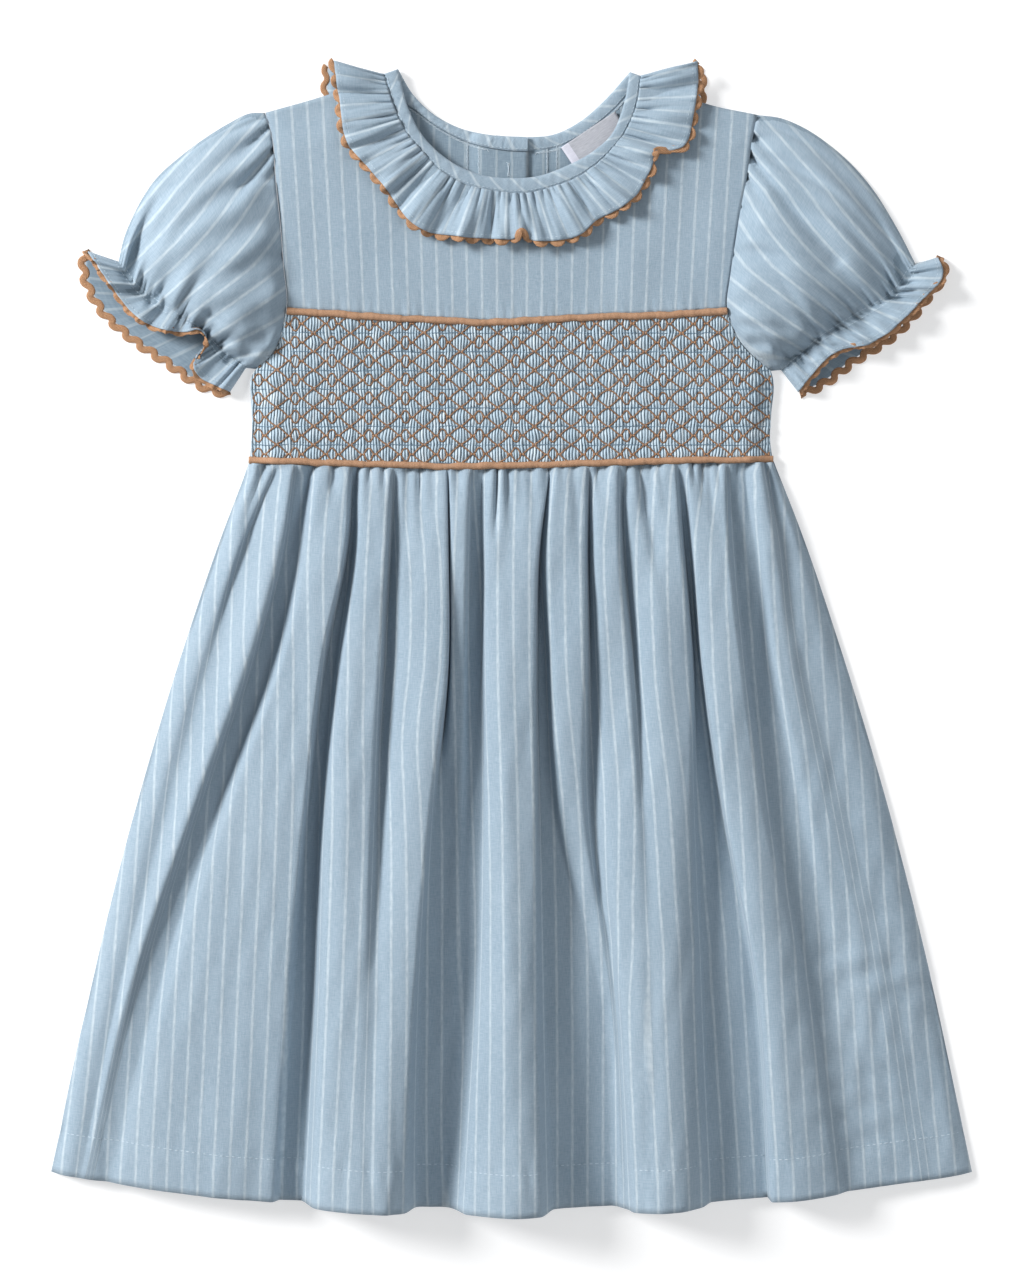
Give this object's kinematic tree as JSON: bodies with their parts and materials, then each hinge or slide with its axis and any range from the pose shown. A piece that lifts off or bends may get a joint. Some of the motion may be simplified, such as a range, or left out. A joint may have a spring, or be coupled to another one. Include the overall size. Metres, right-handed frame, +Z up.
{
  "type": "smocked dress",
  "caption": "Child's short-sleeved dress laid flat, with a frilled round neck, puff sleeves, a honeycomb smocked band between pipings and a gathered skirt.",
  "frame": {"origin": "on the surface that the dress lies on, under the middle of its outline", "axes": "+Z up out of the front of the dress, +Y along its length toward the neck, +X to the viewer's right"},
  "size_m": [0.4596, 0.5699, 0.0297],
  "materials": {
    "cloth": "matte striped blue chambray",
    "smocked_cloth": "matte blue chambray with brown smocking thread",
    "tan_trim": "matte tan cotton trim",
    "label": "plain woven grey",
    "button": "off-white"
  },
  "bodies": {
    "root": {"front_skirt": "cloth", "back_skirt": "cloth", "smocked_panel": "smocked_cloth", "front_yoke": "cloth", "back_bodice_left": "cloth", "back_bodice_right": "cloth", "sleeve_left": "cloth", "sleeve_right": "cloth", "neck_frill_front": "cloth", "neck_frill_back_left": "cloth", "neck_frill_back_right": "cloth", "neck_binding_front": "cloth", "neck_binding_back_left": "cloth", "neck_binding_back_right": "cloth", "ricrac_neck_front": "tan_trim", "ricrac_neck_back_left": "tan_trim", "ricrac_neck_back_right": "tan_trim", "ricrac_cuff_left": "tan_trim", "ricrac_cuff_right": "tan_trim", "piping_top": "tan_trim", "piping_bottom": "tan_trim", "neck_label": "label", "button_top": "button", "button_middle": "button", "button_bottom": "button"}
  },
  "joints": []
}
